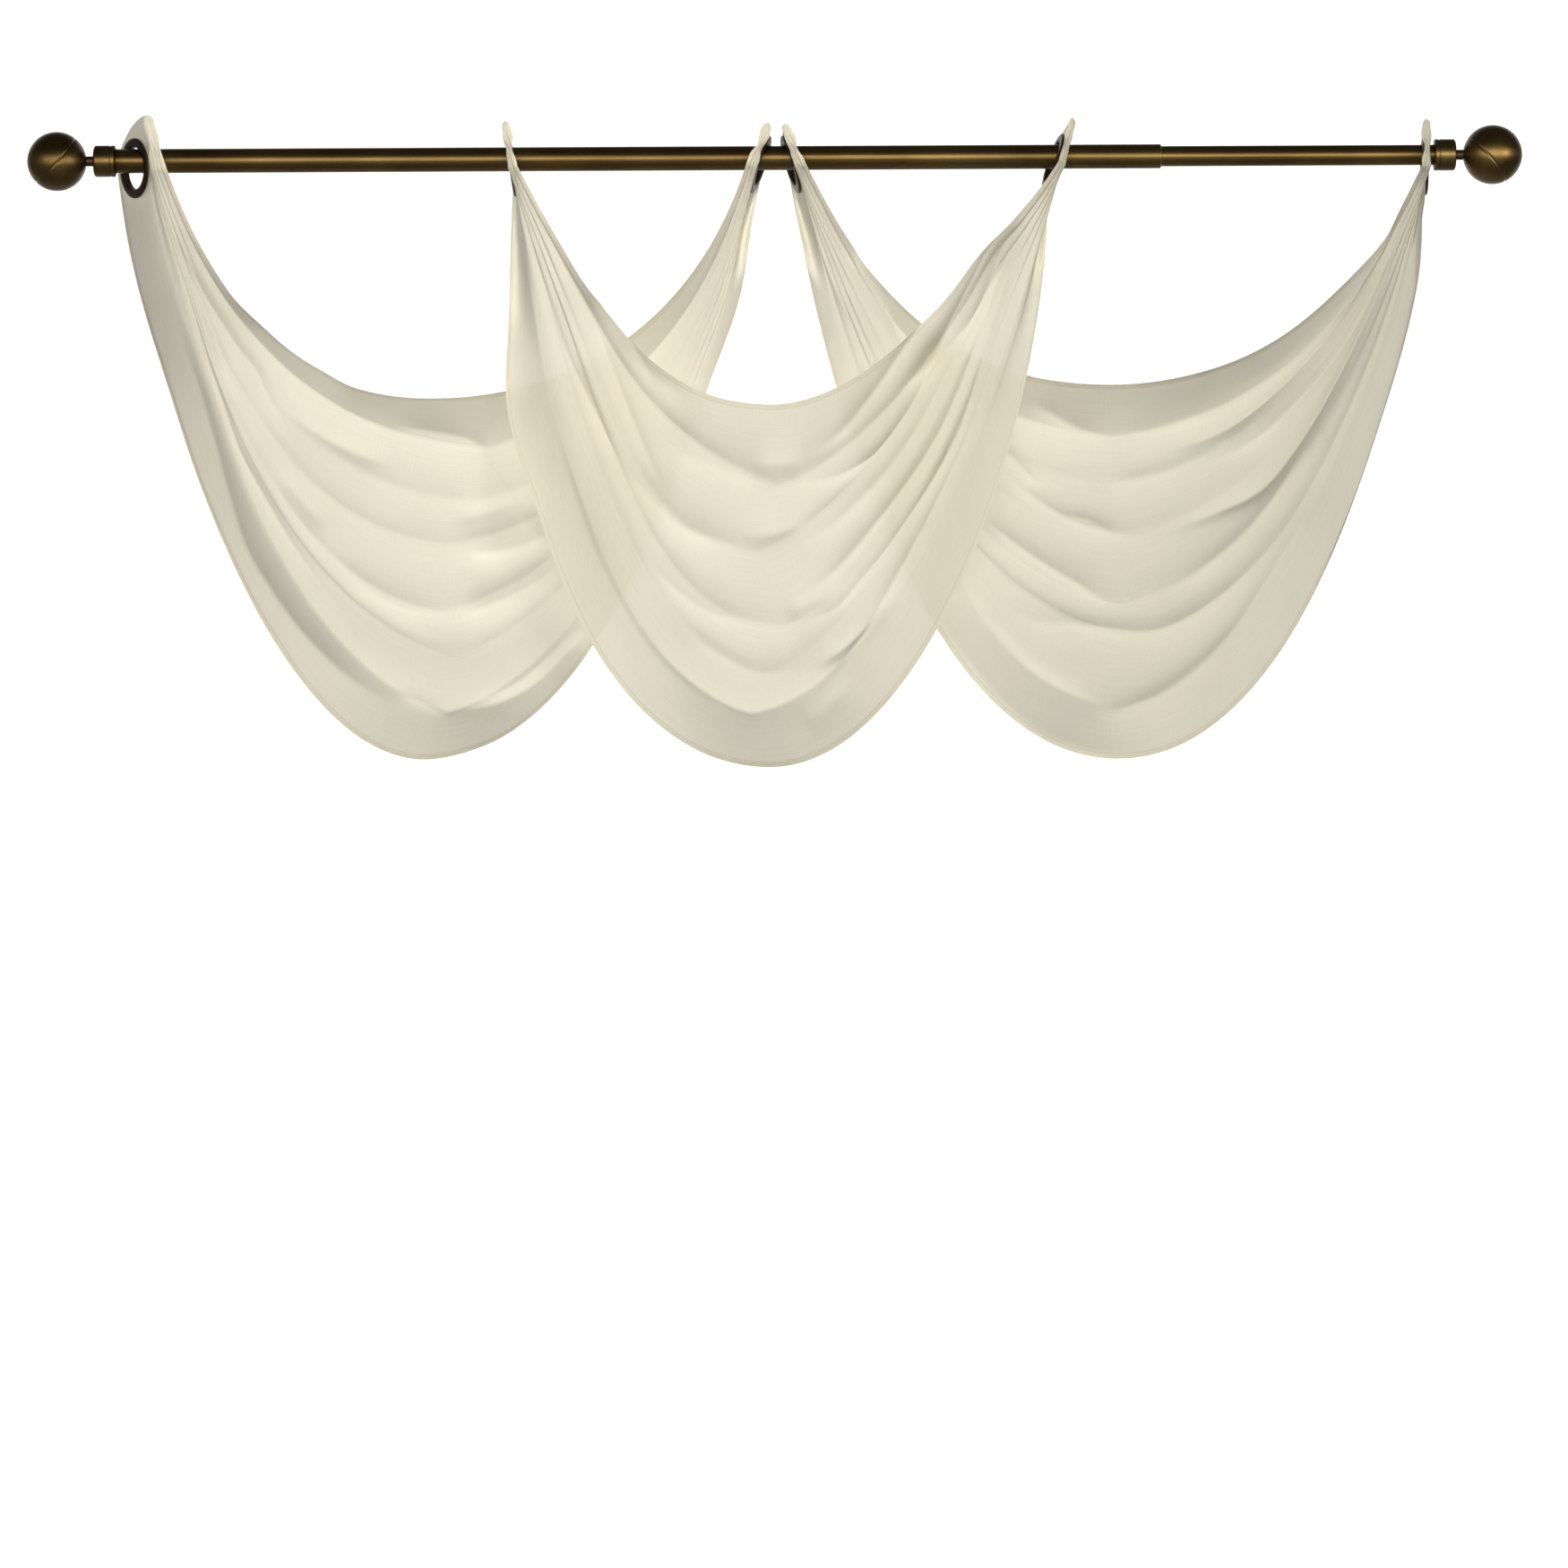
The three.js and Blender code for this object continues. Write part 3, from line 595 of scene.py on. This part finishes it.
def voile():
    """Sheer plain weave: uneven threads both ways, light passing through, a stitched hem."""
    material, tree, output = new_material("ecru_voile")
    place = node(tree, "ShaderNodeUVMap", uv_map="cut").outputs["UV"]
    weft = thread_noise(tree, place, (24, 900, 1))
    warp = thread_noise(tree, place, (900, 24, 1))
    slub = thread_noise(tree, place, (16, 260, 1), 3.0)
    cloud = thread_noise(tree, place, (7, 7, 1))
    threads = node(tree, "ShaderNodeMath", links={0: weft, 1: warp}, operation="ADD").outputs[0]
    uneven = node(tree, "ShaderNodeMath", {1: 0.5}, {0: slub, 2: cloud}, operation="MULTIPLY_ADD")
    tone = node(
        tree,
        "ShaderNodeMapRange",
        {"From Min": 0.45, "From Max": 1.05, "To Min": 0.0, "To Max": 1.0},
        {"Value": uneven.outputs[0]},
    )
    colour = node(
        tree,
        "ShaderNodeMix",
        {"A": (0.79, 0.745, 0.605, 1), "B": (0.85, 0.805, 0.665, 1)},
        {"Factor": tone.outputs["Result"]},
        data_type="RGBA",
    )
    edge = node(tree, "ShaderNodeAttribute", attribute_name="edge_mm").outputs["Fac"]
    from_seam = node(tree, "ShaderNodeMath", {1: 5.4}, {0: edge}, operation="SUBTRACT").outputs[0]
    beside = node(tree, "ShaderNodeMath", links={0: from_seam}, operation="ABSOLUTE").outputs[0]
    seam = node(
        tree,
        "ShaderNodeMapRange",
        {"From Min": 0.2, "From Max": 0.8, "To Min": 1.0, "To Max": 0.0},
        {"Value": beside},
    ).outputs["Result"]
    run = node(tree, "ShaderNodeSeparateXYZ", links={"Vector": place}).outputs["X"]
    beat = node(tree, "ShaderNodeMath", {1: 2200.0}, {0: run}, operation="MULTIPLY").outputs[0]
    beat = node(tree, "ShaderNodeMath", links={0: beat}, operation="SINE").outputs[0]
    stitch = node(
        tree,
        "ShaderNodeMapRange",
        {"From Min": -0.6, "From Max": 0.2, "To Min": 0.2, "To Max": 0.8},
        {"Value": beat},
    ).outputs["Result"]
    sewn = node(tree, "ShaderNodeMath", links={0: seam, 1: stitch}, operation="MULTIPLY").outputs[0]
    shade = node(
        tree,
        "ShaderNodeMix",
        {"B": (0.62, 0.57, 0.45, 1)},
        {"Factor": sewn, "A": colour.outputs["Result"]},
        data_type="RGBA",
    ).outputs["Result"]
    relief = node(tree, "ShaderNodeMath", {1: -1.5}, {0: sewn, 2: threads}, operation="MULTIPLY_ADD")
    bump = node(
        tree,
        "ShaderNodeBump",
        {"Strength": 0.25, "Distance": 0.0005},
        {"Height": relief.outputs[0]},
    ).outputs["Normal"]
    front = node(
        tree,
        "ShaderNodeBsdfPrincipled",
        {"Roughness": 0.72, "Specular IOR Level": 0.25, "Sheen Weight": 0.12, "Sheen Roughness": 0.4},
        {"Base Color": shade, "Normal": bump},
    ).outputs[0]
    through_cloth = node(
        tree, "ShaderNodeBsdfTranslucent", links={"Color": shade, "Normal": bump}
    ).outputs[0]
    cloth = node(tree, "ShaderNodeMixShader", {0: 0.18}, {1: front, 2: through_cloth}).outputs[0]
    open_weave = node(
        tree,
        "ShaderNodeMapRange",
        {"From Min": 0.6, "From Max": 1.4, "To Min": 0.1, "To Max": 0.04},
        {"Value": threads},
    ).outputs["Result"]
    clear = node(tree, "ShaderNodeBsdfTransparent").outputs[0]
    sheer = node(tree, "ShaderNodeMixShader", links={0: open_weave, 1: cloth, 2: clear}).outputs[0]
    tree.links.new(sheer, output.inputs["Surface"])
    return material


def shown(mesh, name):
    piece = bpy.data.objects.new(name, mesh)
    bpy.context.scene.collection.objects.link(piece)
    return piece


voile_cloth = voile()
tab_places = {}
for swag_name, swag in SWAGS.items():
    tabs = [dict(zip(TAB_ROW, row)) for row in swag["tabs"]]
    places = [tab_frame(tabs[0], -1), tab_frame(tabs[1], 1)]
    tab_places[swag_name] = places
    cloth = swag_grid(swag, tabs, places)
    cut, edge = cut_measures(cloth)
    top_hem = turned_hem(cloth, cut)
    bottom_hem = turned_hem(cloth[::-1, ::-1], cut[::-1, ::-1])
    sheets = [(cloth, cut, edge), [grid[::-1] for grid in top_hem], [grid[::-1] for grid in bottom_hem]]
    mesh = cloth_mesh(swag_name + "_cloth", sheets, places)
    mesh.materials.append(voile_cloth)
    piece = shown(mesh, swag_name + "_cloth")
    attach(piece, "root")
    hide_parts(swag_name)


# Eyelets: two in each swag, each a face ring with a rolled barrel and a back ring.
# They are pressed from thin metal, finished dark bronze, and snap together through the cloth.
# They hang on the rod, which passes through all six.

EYELET_SIDES = 72
EYELET_ROUNDING = 0.9
RIM_BEVEL = {"deep": 1.0, "wide": 2.4}
BORE_BEVEL = {"deep": 1.4, "wide": 1.6}
BARREL_END_BEVEL = 0.5
CORNER_SHARE = 0.45


def turned_mesh(name, outline, sides):
    """A mesh turned about the X axis from its outline of (along, radius) points, in millimetres."""
    outline = np.array(outline, float)
    angle = np.linspace(0, 2 * math.pi, sides, endpoint=False)
    ring = np.stack((0 * angle, np.sin(angle), np.cos(angle)), 1)
    points = outline[:, None, :1] * (1, 0, 0) + outline[:, None, 1:] * ring[None]
    count = len(outline)
    number = np.arange(count * sides).reshape(count, sides)
    beside = np.roll(number, -1, 1)
    nxt = np.roll(number, -1, 0)
    nxt_beside = np.roll(beside, -1, 0)
    quads = np.stack((number, nxt, nxt_beside, beside), 2).reshape(-1, 4)
    mesh = bpy.data.meshes.new(name)
    mesh.from_pydata((points.reshape(-1, 3) * MM).tolist(), [], quads.tolist())
    mesh.validate()
    mesh.polygons.foreach_set("use_smooth", [True] * len(mesh.polygons))
    return mesh


def rounded(corners, radius, steps=5):
    """An outline with each corner replaced by a small curve of about that radius."""
    corners = np.array(corners, float)
    made = []
    for before, corner, after in zip(np.roll(corners, 1, 0), corners, np.roll(corners, -1, 0)):
        to_before, to_after = before - corner, after - corner
        cut_before = min(radius, CORNER_SHARE * np.linalg.norm(to_before))
        cut_after = min(radius, CORNER_SHARE * np.linalg.norm(to_after))
        start = corner + to_before / np.linalg.norm(to_before) * cut_before
        end = corner + to_after / np.linalg.norm(to_after) * cut_after
        for t in np.linspace(0, 1, steps):
            made.append((1 - t) ** 2 * start + 2 * (1 - t) * t * corner + t**2 * end)
    return made


def dark_bronze():
    """Satin plated metal, nearly black brown, with fine wear and a soft mottle."""
    material, tree, output = new_material("dark_bronze_plating")
    place = node(tree, "ShaderNodeTexCoord").outputs["Object"]
    mottle = node(
        tree,
        "ShaderNodeTexNoise",
        {"Scale": 180.0, "Detail": 4.0, "Roughness": 0.6},
        {"Vector": place},
    ).outputs["Fac"]
    colour = node(
        tree,
        "ShaderNodeMix",
        {"A": (0.030, 0.017, 0.011, 1), "B": (0.075, 0.043, 0.026, 1)},
        {"Factor": mottle},
        data_type="RGBA",
    ).outputs["Result"]
    rough = node(
        tree, "ShaderNodeMapRange", {"To Min": 0.34, "To Max": 0.52}, {"Value": mottle}
    ).outputs["Result"]
    bump = node(
        tree, "ShaderNodeBump", {"Strength": 0.08, "Distance": 0.0002}, {"Height": mottle}
    ).outputs["Normal"]
    metal = node(
        tree,
        "ShaderNodeBsdfPrincipled",
        {"Metallic": 0.85, "Specular IOR Level": 0.4},
        {"Base Color": colour, "Roughness": rough, "Normal": bump},
    ).outputs[0]
    tree.links.new(metal, output.inputs["Surface"])
    return material


eyelet_near = CLOTH_SOLID / 2 + PIECE_GAP
eyelet_far = eyelet_near + EYELET_THICKNESS
face_ring = rounded(
    [
        (-eyelet_far, EYELET_BORE + BARREL_END_BEVEL),
        (-eyelet_far, EYELET_BARREL),
        (eyelet_near, EYELET_BARREL),
        (eyelet_near, EYELET_RIM),
        (eyelet_far - RIM_BEVEL["deep"], EYELET_RIM),
        (eyelet_far, EYELET_RIM - RIM_BEVEL["wide"]),
        (eyelet_far, EYELET_BORE + BORE_BEVEL["wide"]),
        (eyelet_far - BORE_BEVEL["deep"], EYELET_BORE),
    ],
    EYELET_ROUNDING,
)
back_ring = rounded(
    [
        (-eyelet_far, EYELET_BARREL + PIECE_GAP),
        (-eyelet_far, EYELET_RIM - RIM_BEVEL["wide"]),
        (RIM_BEVEL["deep"] - eyelet_far, EYELET_RIM),
        (-eyelet_near, EYELET_RIM),
        (-eyelet_near, EYELET_BARREL + PIECE_GAP),
    ],
    EYELET_ROUNDING,
)
eyelet_metal = dark_bronze()
eyelets = {}
for swag_name, places in tab_places.items():
    for end, place in zip(("left", "right"), places):
        across = np.cross(place["up"], place["out"])
        turn = np.stack((place["out"], across, place["up"]), 1)
        for ring_name, ring in (("face", face_ring), ("back", back_ring)):
            name = f"{swag_name}_eyelet_{end}_{ring_name}"
            mesh = turned_mesh(name + "_ring", ring, EYELET_SIDES)
            points = np.array([v.co for v in mesh.vertices]) @ turn.T + place["centre"] * MM
            mesh.vertices.foreach_set("co", points.ravel())
            mesh.materials.append(eyelet_metal)
            piece = shown(mesh, name + "_ring")
            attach(piece, "root")
            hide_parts(name)
            eyelets.setdefault(swag_name, []).append(piece)


# Rod: a wide steel tube from the left, and a thin one that slides in it to the right.
# Both are drawn tube, brushed lengthwise and plated antique bronze.
# The wide tube's cut end is left bare, and shows as a thin bright rim.

WIDE_TUBE = {"radius": WIDE_TUBE_RADIUS, "wall": 1.0, "start": -696, "end": WIDE_TUBE_END, "lip": 0.8}
THIN_TUBE = {"radius": THIN_TUBE_RADIUS, "wall": 0.8, "start": 270, "end": 696, "lip": 0.3}
TUBE_SIDES = 96
TUBE_STATIONS = 40
INNER_EDGE_BREAK = 0.2


def antique_bronze(name, brush, wear):
    """Brushed bronze plating: fine scratches along brush, and a darker patina in patches."""
    material, tree, output = new_material(name)
    place = node(tree, "ShaderNodeTexCoord").outputs["Object"]
    grain = node(tree, "ShaderNodeMapping", {"Scale": brush}, {"Vector": place}).outputs["Vector"]
    scratch = node(
        tree,
        "ShaderNodeTexNoise",
        {"Scale": 1.0, "Detail": 5.0, "Roughness": 0.65},
        {"Vector": grain},
    ).outputs["Fac"]
    patina = node(
        tree,
        "ShaderNodeTexNoise",
        {"Scale": wear, "Detail": 3.0, "Roughness": 0.55},
        {"Vector": place},
    ).outputs["Fac"]
    aged = node(tree, "ShaderNodeMath", {1: 0.45}, {0: scratch, 2: patina}, operation="MULTIPLY_ADD")
    tone = node(
        tree,
        "ShaderNodeMapRange",
        {"From Min": 0.45, "From Max": 1.0, "To Min": 0.0, "To Max": 1.0},
        {"Value": aged.outputs[0]},
    ).outputs["Result"]
    colour = node(
        tree,
        "ShaderNodeMix",
        {"A": (0.062, 0.037, 0.014, 1), "B": (0.150, 0.101, 0.038, 1)},
        {"Factor": tone},
        data_type="RGBA",
    ).outputs["Result"]
    rough = node(
        tree, "ShaderNodeMapRange", {"To Min": 0.32, "To Max": 0.5}, {"Value": scratch}
    ).outputs["Result"]
    bump = node(
        tree, "ShaderNodeBump", {"Strength": 0.12, "Distance": 0.0002}, {"Height": scratch}
    ).outputs["Normal"]
    around = node(tree, "ShaderNodeTangent", direction_type="RADIAL", axis="X").outputs["Tangent"]
    metal = node(
        tree,
        "ShaderNodeBsdfPrincipled",
        {"Metallic": 1.0, "Anisotropic": 0.55, "Anisotropic Rotation": 0.25},
        {"Base Color": colour, "Roughness": rough, "Normal": bump, "Tangent": around},
    ).outputs[0]
    tree.links.new(metal, output.inputs["Surface"])
    return material


def bare_steel():
    """A sawn and deburred steel edge, grey with fine turning marks."""
    material, tree, output = new_material("bare_steel_edge")
    place = node(tree, "ShaderNodeTexCoord").outputs["Object"]
    marks = node(
        tree, "ShaderNodeTexNoise", {"Scale": 900.0, "Detail": 3.0}, {"Vector": place}
    ).outputs["Fac"]
    colour = node(
        tree,
        "ShaderNodeMix",
        {"A": (0.42, 0.40, 0.36, 1), "B": (0.72, 0.70, 0.66, 1)},
        {"Factor": marks},
        data_type="RGBA",
    ).outputs["Result"]
    metal = node(
        tree,
        "ShaderNodeBsdfPrincipled",
        {"Metallic": 1.0, "Roughness": 0.4},
        {"Base Color": colour},
    ).outputs[0]
    tree.links.new(metal, output.inputs["Surface"])
    return material


tube_bronze = antique_bronze("antique_bronze_tube", (6, 900, 900), 9.0)
cut_edge = bare_steel()
for tube_name, tube in (("rod_wide_tube", WIDE_TUBE), ("rod_thin_tube", THIN_TUBE)):
    radius, inner, lip, cut_end = tube["radius"], tube["radius"] - tube["wall"], tube["lip"], tube["end"]
    stations = np.linspace(tube["start"], cut_end - lip, TUBE_STATIONS)
    outline = [(tube["start"], inner), (cut_end - INNER_EDGE_BREAK, inner)]
    outline += [(cut_end, inner + INNER_EDGE_BREAK), (cut_end, radius - lip * 0.6)]
    outline += [(cut_end - lip * 0.4, radius - lip * 0.1)]
    outline += [(along, radius) for along in stations[::-1]]
    mesh = turned_mesh(tube_name + "_brushed", outline[::-1], TUBE_SIDES)
    mesh.materials.append(tube_bronze)
    mesh.materials.append(cut_edge)
    rim = (cut_end - lip * 0.6) * MM
    for face in mesh.polygons:
        if face.center.x > rim:
            face.material_index = 1
    piece = shown(mesh, tube_name + "_brushed")
    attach(piece, "root")
    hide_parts(tube_name)


# Finials: a collar that caps each tube end, a short screw neck, and a ball.
# They are brass, brushed and plated antique bronze like the tubes, and the neck is darker.
# The collar and neck are turned. The ball shows a fine seam that runs aslant round it.

BALL_RADIUS = 30.5
BALL_CENTRE = 741
NECK_RADIUS = 5.2
NECK_LENGTH = 8
COLLAR_RADIUS = 16.2
COLLAR_LENGTH = 21.5
COLLAR_BORE = 15.2
COLLAR_BEVEL = 1.6
COLLAR_EYE = NECK_RADIUS * 0.6
GROOVE_DEPTH = 0.6
GROOVE_FROM_END = (5.1, 4.8, 4.2, 3.9)
COLLAR_ROUNDING = 0.5
NECK_EYE = 0.8
NECK_ROUNDING = 0.4
CORNER_STEPS = 4
BALL_HOLES = {"neck": 0.5, "far": 0.05, "far_angle": 0.02}
SEAM_DEPTH = 0.7
SEAM_WIDTH = 0.8
SEAMS = {"left": ((-0.6, -0.2, 0.55), 2.0), "right": ((-0.6, -0.04, 0.55), -8.9)}
BALL_RINGS = 150
BALL_SIDES = 240
FINIAL_SIDES = 96

ball_bronze = antique_bronze("antique_bronze_ball", (40, 700, 700), 22.0)
collar_bronze = antique_bronze("antique_bronze_collar", (900, 60, 60), 30.0)
neck_metal = eyelet_metal
ball_seat = BALL_CENTRE - math.sqrt(BALL_RADIUS**2 - NECK_RADIUS**2) - PIECE_GAP
collar_face = ball_seat - NECK_LENGTH - PIECE_GAP


def finial_piece(mesh, node_name, side, at, material):
    """Turns a mesh made for the left end to its end of the rod, and puts it in its node's place."""
    points = np.array([v.co for v in mesh.vertices])
    if side > 0:
        points *= (-1, -1, 1)
    points[:, 0] += side * at * MM
    mesh.vertices.foreach_set("co", points.ravel())
    mesh.materials.append(material)
    piece = shown(mesh, node_name + "_turned")
    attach(piece, "root")
    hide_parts(node_name)


for end, side, tube_radius in (("left", -1, WIDE_TUBE_RADIUS), ("right", 1, THIN_TUBE_RADIUS)):
    length, bore = COLLAR_LENGTH, tube_radius + PIECE_GAP
    collar = rounded(
        [
            (0, COLLAR_EYE),
            (0, COLLAR_RADIUS - COLLAR_BEVEL),
            (COLLAR_BEVEL, COLLAR_RADIUS),
            (length - GROOVE_FROM_END[0], COLLAR_RADIUS),
            (length - GROOVE_FROM_END[1], COLLAR_RADIUS - GROOVE_DEPTH),
            (length - GROOVE_FROM_END[2], COLLAR_RADIUS - GROOVE_DEPTH),
            (length - GROOVE_FROM_END[3], COLLAR_RADIUS),
            (length, COLLAR_RADIUS),
            (length, bore),
            (length - COLLAR_BORE, bore),
            (length - COLLAR_BORE, COLLAR_EYE),
        ],
        COLLAR_ROUNDING,
        CORNER_STEPS,
    )
    mesh = turned_mesh(end + "_collar_turned", collar, FINIAL_SIDES)
    finial_piece(mesh, end + "_collar", side, collar_face, collar_bronze)

    neck = rounded(
        [(0.0, NECK_EYE), (0.0, NECK_RADIUS), (NECK_LENGTH, NECK_RADIUS), (NECK_LENGTH, NECK_EYE)],
        NECK_ROUNDING,
        CORNER_STEPS,
    )
    mesh = turned_mesh(end + "_neck_turned", neck, FINIAL_SIDES)
    finial_piece(mesh, end + "_neck", side, ball_seat, neck_metal)

    neck_angle = math.asin(NECK_RADIUS / BALL_RADIUS)
    polar = np.linspace(neck_angle, math.pi - BALL_HOLES["far_angle"], BALL_RINGS)
    ball = [(BALL_RADIUS * math.cos(a), BALL_RADIUS * math.sin(a)) for a in polar]
    ball = [(ball[0][0], BALL_HOLES["neck"]), *ball, (-BALL_RADIUS, BALL_HOLES["far"])]
    mesh = turned_mesh(end + "_ball_turned", ball[::-1], BALL_SIDES)
    points = np.array([v.co for v in mesh.vertices]) / MM
    seam_axis, seam_offset = np.array(SEAMS[end][0]), SEAMS[end][1]
    from_seam = np.abs(points @ seam_axis / np.linalg.norm(seam_axis) - seam_offset)
    depth = SEAM_DEPTH * np.exp(-((from_seam / SEAM_WIDTH) ** 2))
    points *= (1 - depth / BALL_RADIUS)[:, None]
    mesh.vertices.foreach_set("co", (points * MM).ravel())
    finial_piece(mesh, end + "_ball", side, BALL_CENTRE, ball_bronze)


# Studio: a pale floor well below the valance, as under a window, and a lit white wall behind it.
# Both are painted board. They only stage the valance.

FLOOR_LEVEL = -2.5
WALL_DISTANCE = 8.0
STUDIO_HALF_WIDTH = 9.0
WALL_TOP = 6.0
COVE_RADIUS = 1.2
COVE_STEPS = 14
BOARD_COLUMNS = 7


def painted_board(name, colour, glow):
    material, tree, output = new_material(name)
    place = node(tree, "ShaderNodeTexCoord").outputs["Object"]
    roller = node(
        tree, "ShaderNodeTexNoise", {"Scale": 30.0, "Detail": 3.0}, {"Vector": place}
    ).outputs["Fac"]
    bump = node(
        tree, "ShaderNodeBump", {"Strength": 0.05, "Distance": 0.001}, {"Height": roller}
    ).outputs["Normal"]
    board = node(
        tree,
        "ShaderNodeBsdfPrincipled",
        {
            "Base Color": colour,
            "Roughness": 0.8,
            "Emission Color": (1, 1, 1, 1),
            "Emission Strength": glow,
        },
        {"Normal": bump},
    ).outputs[0]
    tree.links.new(board, output.inputs["Surface"])
    return material


cove = np.linspace(0, math.pi / 2, COVE_STEPS)
profile = [(-STUDIO_HALF_WIDTH, FLOOR_LEVEL)]
profile += [
    (
        WALL_DISTANCE - COVE_RADIUS + COVE_RADIUS * math.sin(a),
        FLOOR_LEVEL + COVE_RADIUS * (1 - math.cos(a)),
    )
    for a in cove
]
profile.append((WALL_DISTANCE, WALL_TOP))
wide = np.linspace(-STUDIO_HALF_WIDTH, STUDIO_HALF_WIDTH, BOARD_COLUMNS)
corners = [(x, y, z) for y, z in profile for x in wide]
faces = []
for i in range(len(profile) - 1):
    for k in range(len(wide) - 1):
        first = i * len(wide) + k
        faces.append((first, first + 1, first + len(wide) + 1, first + len(wide)))
mesh = bpy.data.meshes.new("studio_board")
mesh.from_pydata(corners, [], faces)
mesh.polygons.foreach_set("use_smooth", [True] * len(mesh.polygons))
mesh.materials.append(painted_board("pale_floor_board", (0.86, 0.86, 0.85, 1), 0.0))
mesh.materials.append(painted_board("lit_wall_board", (0.9, 0.9, 0.9, 1), 1.0))
for face in mesh.polygons:
    face.material_index = 1 if face.center.y > WALL_DISTANCE - COVE_RADIUS else 0
studio = shown(mesh, "studio_board")


# Light: a large soft box in front, above and a little to the left, two weaker ones, and a dim
# warm room light the cloth. Long boxes in front, low down and at both ends light the metal only,
# as a polished rod is lit.

world = bpy.data.worlds.new("studio_room")
world.use_nodes = True
world.node_tree.nodes["Background"].inputs["Color"].default_value = (1.0, 0.95, 0.84, 1)
world.node_tree.nodes["Background"].inputs["Strength"].default_value = 0.12
bpy.context.scene.world = world


def soft_box(name, place, aim, width, height, power, spread, colour, shadow, on_cloth):
    lamp = bpy.data.lights.new(name, "AREA")
    lamp.shape = "RECTANGLE"
    lamp.size, lamp.size_y = width, height
    lamp.energy = power
    lamp.spread = math.radians(spread)
    lamp.color = colour
    lamp.use_shadow = shadow
    made = bpy.data.objects.new(name, lamp)
    made.location = place
    made.visible_diffuse = made.visible_transmission = on_cloth
    made.visible_glossy = not on_cloth
    made.rotation_euler = (Vector(aim) - Vector(place)).to_track_quat("-Z", "Y").to_euler()
    bpy.context.scene.collection.objects.link(made)


WARM_WHITE = (1.0, 0.985, 0.955)
GOLD_WHITE = (1.0, 0.97, 0.86)
soft_box("key_box", (-0.5, -4.3, 3.65), (-0.24, 0.0, -0.32), 2.0, 1.2, 8.7, 27, WARM_WHITE, False, True)
soft_box("side_box", (2.0, -4.4, 2.8), (-0.3, 0.0, -0.32), 1.4, 1.2, 2.6, 32, WARM_WHITE, True, True)
soft_box("front_box", (-0.3, -4.0, 0.1), (-0.2, 0.0, -0.3), 0.9, 0.7, 8, 120, WARM_WHITE, True, True)
soft_box("rod_box", (0.2, -4.0, 0.05), (0.2, 0.0, 0.0), 3.8, 1.7, 135, 180, GOLD_WHITE, True, False)
soft_box("low_box", (0.2, -2.6, -2.0), (0.2, 0.0, 0.0), 3.8, 1.4, 6, 180, GOLD_WHITE, True, False)
soft_box("left_strip", (-2.6, -3.6, 0.2), (-0.74, 0.0, 0.0), 1.0, 1.0, 40, 180, GOLD_WHITE, True, False)
soft_box("right_strip", (3.4, -2.6, 0.1), (0.74, 0.0, 0.0), 1.0, 1.0, 90, 180, GOLD_WHITE, True, False)


# Camera: level with the middle of the picture, square to the rod, six metres away.
# It is rolled a little, as the rod slopes in the photograph.

PICTURE_WIDTH = 1.61875
CAMERA_DISTANCE = 6.0
CAMERA_RIGHT = 0.0065
CAMERA_HEIGHT = -0.6462
CAMERA_ROLL = 0.275
SENSOR = 36.0

camera_data = bpy.data.cameras.new("camera")
camera_data.sensor_width = SENSOR
camera_data.lens = SENSOR * CAMERA_DISTANCE / PICTURE_WIDTH
camera_data.clip_end = 60
camera = bpy.data.objects.new("camera", camera_data)
camera.location = (CAMERA_RIGHT, -CAMERA_DISTANCE, CAMERA_HEIGHT)
camera.rotation_euler = (math.pi / 2, math.radians(CAMERA_ROLL), 0)
bpy.context.scene.collection.objects.link(camera)
bpy.context.scene.camera = camera
bpy.context.scene.view_settings.view_transform = "Standard"
